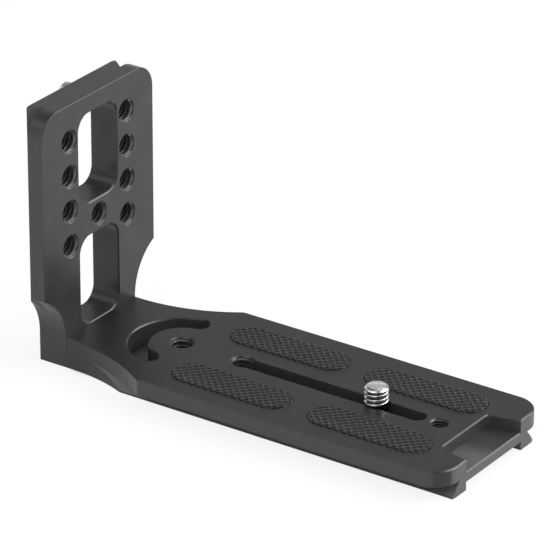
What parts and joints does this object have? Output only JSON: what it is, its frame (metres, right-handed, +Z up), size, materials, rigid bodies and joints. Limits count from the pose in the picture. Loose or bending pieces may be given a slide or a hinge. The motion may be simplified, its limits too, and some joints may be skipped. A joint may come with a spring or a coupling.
{
  "type": "camera l bracket",
  "caption": "L bracket for a camera: a base with dovetail rails, grip pads and a captive screw, and an upright with a dovetail rail, windows and threaded holes.",
  "frame": {"origin": "middle of the footprint, on the plane of the rail bottoms", "axes": "+X along the base away from the upright, +Y across the base to the rear, +Z up"},
  "size_m": [0.134, 0.0486, 0.0739],
  "materials": {
    "plate": "black anodised, fine satin",
    "pad": "fine moulded diamond texture",
    "screw": "bright turned stainless steel",
    "washer": "smooth black nylon",
    "joint_screw": "black oxide steel",
    "stop_screw": "plain stainless steel"
  },
  "bodies": {
    "bracket": {"base_plate": "plate", "upright_plate": "plate", "grip_pad_inner_front": "pad", "grip_pad_inner_rear": "pad", "grip_pad_outer_front": "pad", "grip_pad_outer_rear": "pad", "joint_screw_front": "joint_screw", "joint_screw_rear": "joint_screw", "stop_screw": "stop_screw"},
    "washer": {"screw_washer": "washer"},
    "camera_screw": {"camera_screw": "screw"}
  },
  "joints": [
    {"name": "screw_slide", "type": "slide", "parent": "bracket", "child": "washer", "axis": [1, 0, 0], "range_m": [-0.0415, 0.0124]},
    {"name": "screw_turn", "type": "hinge", "parent": "washer", "child": "camera_screw", "pos_m": [0.03155, 0, 0.0086], "axis": [0, 0, 1], "continuous": true}
  ]
}
